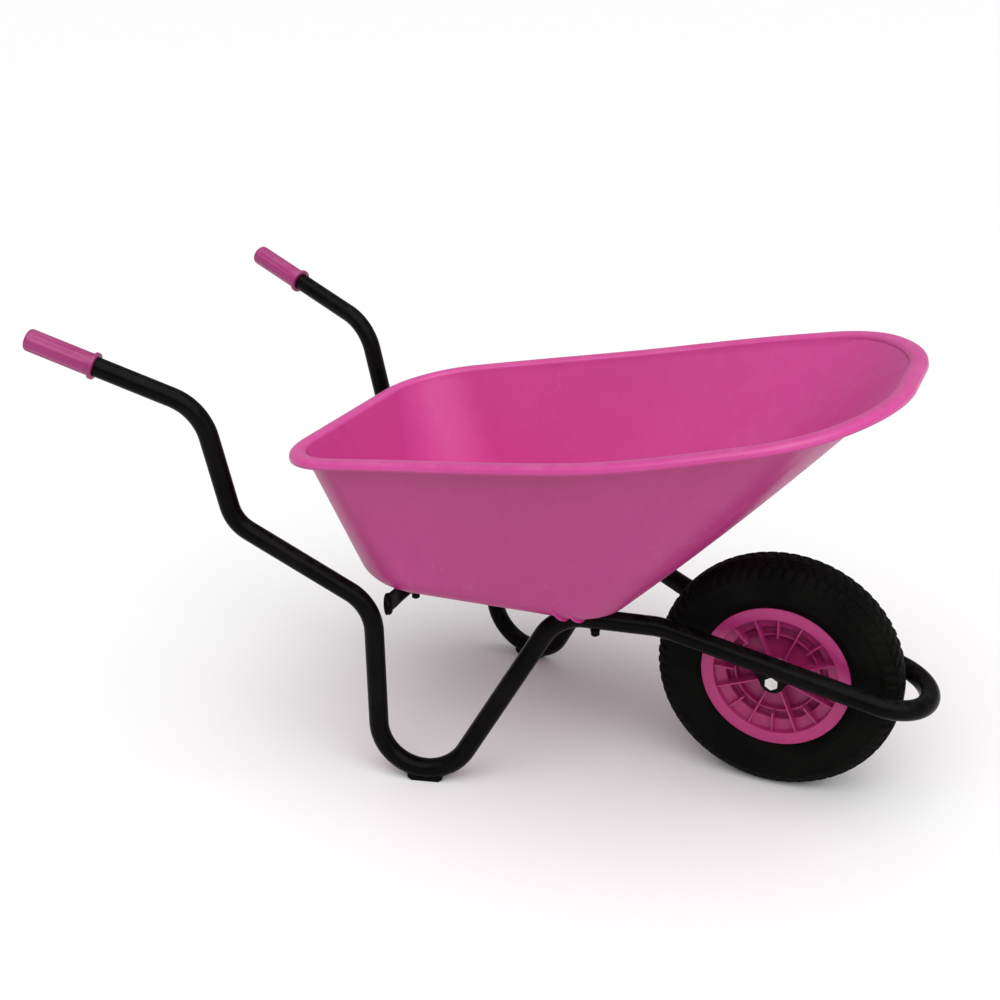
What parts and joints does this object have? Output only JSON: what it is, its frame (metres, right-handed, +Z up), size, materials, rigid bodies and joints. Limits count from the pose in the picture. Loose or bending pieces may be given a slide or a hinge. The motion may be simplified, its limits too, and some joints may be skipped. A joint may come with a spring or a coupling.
{
  "type": "garden wheelbarrow",
  "caption": "Garden wheelbarrow with a deep plastic tray, bent-tube frame and one pneumatic wheel",
  "frame": {"origin": "on the ground, midway between the grip ends and the front of the wheel guard loop, in the centre plane", "axes": "+X ahead to the wheel, +Y to the pusher's left, +Z up"},
  "size_m": [1.3884, 0.6956, 0.7281],
  "materials": {
    "tray_plastic": "semi-gloss moulded polypropylene, magenta pink",
    "rim_plastic": "semi-gloss moulded plastic, magenta pink",
    "grip_plastic": "semi-gloss ribbed plastic, magenta pink",
    "frame_paint": "gloss black powder coat on steel",
    "black_steel": "black plated steel, semi-gloss",
    "zinc_steel": "bright zinc plate",
    "tyre_rubber": "matt black rubber",
    "tube_rubber": "butyl rubber",
    "valve_rubber": "black rubber",
    "cap_plastic": "black plastic",
    "bush_nylon": "natural nylon"
  },
  "bodies": {
    "frame": {"tray": "tray_plastic", "left_side_tube": "frame_paint", "right_side_tube": "frame_paint", "front_loop_tube": "frame_paint", "rear_crossbar": "frame_paint", "left_grip": "grip_plastic", "right_grip": "grip_plastic", "left_foot_shoe": "frame_paint", "right_foot_shoe": "frame_paint", "left_axle_bracket": "frame_paint", "right_axle_bracket": "frame_paint", "axle_bolt": "zinc_steel", "axle_nut": "zinc_steel", "axle_washers": "zinc_steel", "tray_bolts": "black_steel", "tray_washers": "black_steel", "tray_nut_washers": "black_steel", "tray_nuts": "black_steel"},
    "wheel": {"wheel_rim": "rim_plastic", "left_hub_bush": "bush_nylon", "right_hub_bush": "bush_nylon", "tyre": "tyre_rubber", "inner_tube": "tube_rubber", "valve_stem": "valve_rubber", "valve_cap": "cap_plastic"}
  },
  "joints": [
    {"name": "wheel_spin", "type": "hinge", "parent": "frame", "child": "wheel", "pos_m": [0.44625, 0, 0.195], "axis": [0, 1, 0], "continuous": true}
  ]
}
